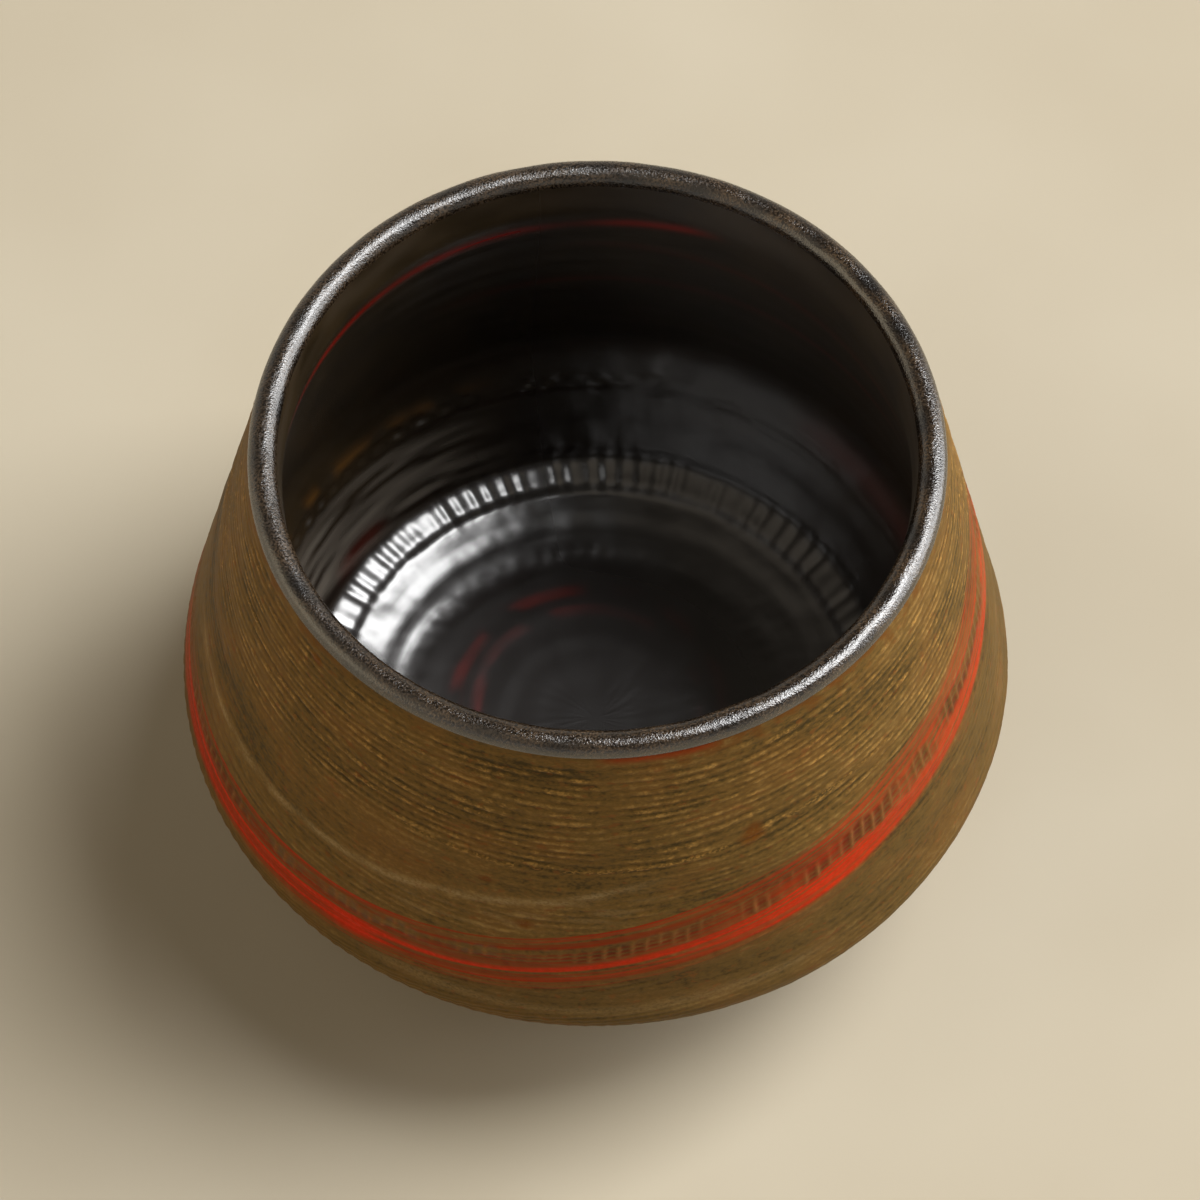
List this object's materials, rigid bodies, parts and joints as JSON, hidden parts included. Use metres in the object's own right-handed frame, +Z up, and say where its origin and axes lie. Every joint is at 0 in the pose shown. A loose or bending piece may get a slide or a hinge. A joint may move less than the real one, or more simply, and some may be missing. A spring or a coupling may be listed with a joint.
{
  "type": "ceramic cup",
  "caption": "Small handleless stoneware cup with a narrow black lip, glossy black bowl, low belly, turned foot ring and a red band slanting across combed olive-brown slip.",
  "frame": {"origin": "on the axis, at the level of the face the foot rests on", "axes": "+Z up along the axis of the cup, from the foot to the mouth; -Y towards the front, the side that shows the band rising to the right"},
  "size_m": [0.0756, 0.0756, 0.0562],
  "materials": {
    "bare_clay": "unglazed stoneware, rough",
    "black_glaze": "glossy black glaze",
    "lip_black": "satin black glaze with a fine grain",
    "olive_slip": "matte combed slip",
    "red_slip": "matte brushed slip",
    "dark_slip": "matte combed slip"
  },
  "bodies": {
    "root": {"clay_body": "bare_clay", "inner_glaze": "black_glaze", "lip_glaze": "lip_black", "upper_slip": "olive_slip", "red_band": "red_slip", "lower_slip": "dark_slip"}
  },
  "joints": []
}
